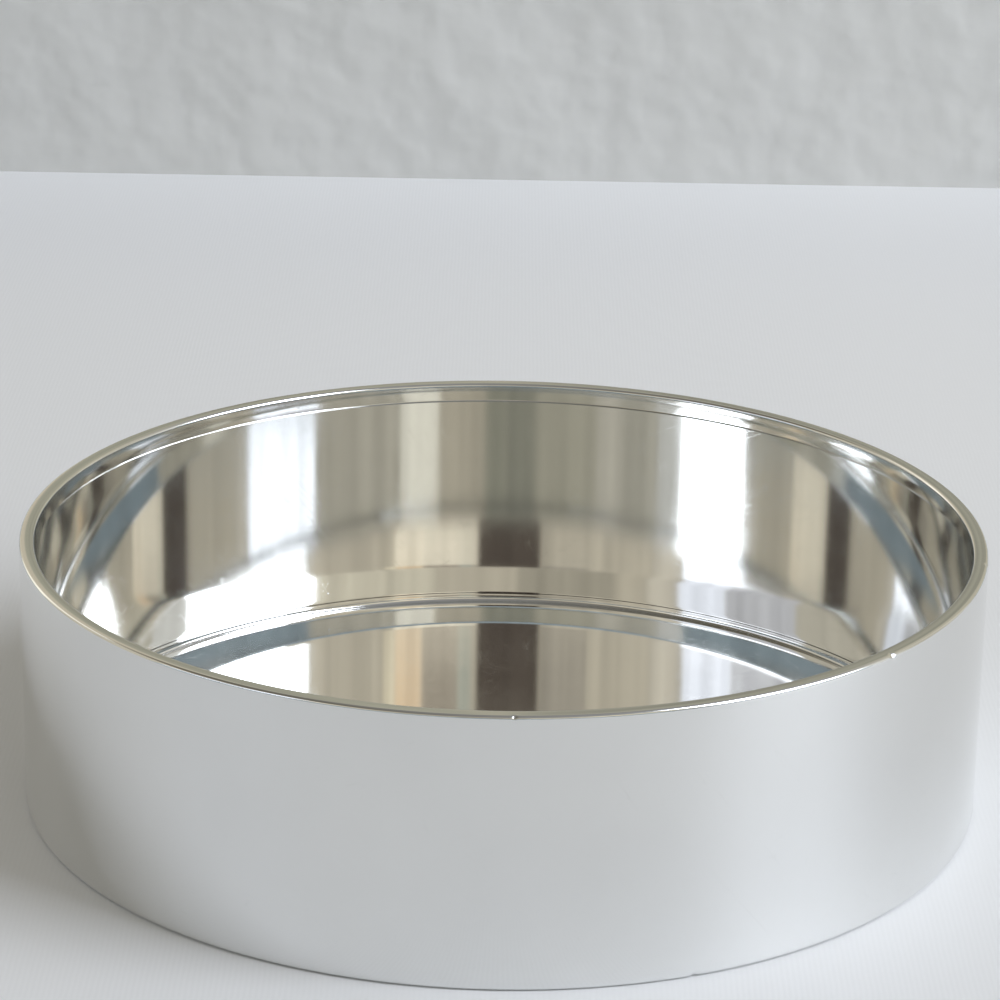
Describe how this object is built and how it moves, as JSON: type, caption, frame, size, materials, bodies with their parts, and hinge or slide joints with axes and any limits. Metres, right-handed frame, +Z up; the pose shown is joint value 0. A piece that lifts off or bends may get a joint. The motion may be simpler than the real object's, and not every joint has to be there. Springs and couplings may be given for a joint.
{
  "type": "candle tin",
  "caption": "Shallow round open candle tin of bright tinplate, with straight sides, a rim rolled inwards and flattened and a pressed base seamed in at the bottom.",
  "frame": {"origin": "centre of the tin, on the surface it stands on", "axes": "+Z up along the tin's axis; the tin is round, so X and Y are any two level directions"},
  "size_m": [0.1, 0.1, 0.028],
  "materials": {
    "wall_tinplate": "bright mirror-like tinplate with faint fine scratches",
    "base_tinplate": "bright mirror-like tinplate, slightly softened by pressing",
    "sealing_compound": "matt"
  },
  "bodies": {
    "root": {"side_wall": "wall_tinplate", "base_panel": "base_tinplate", "seam_seal": "sealing_compound"}
  },
  "joints": []
}
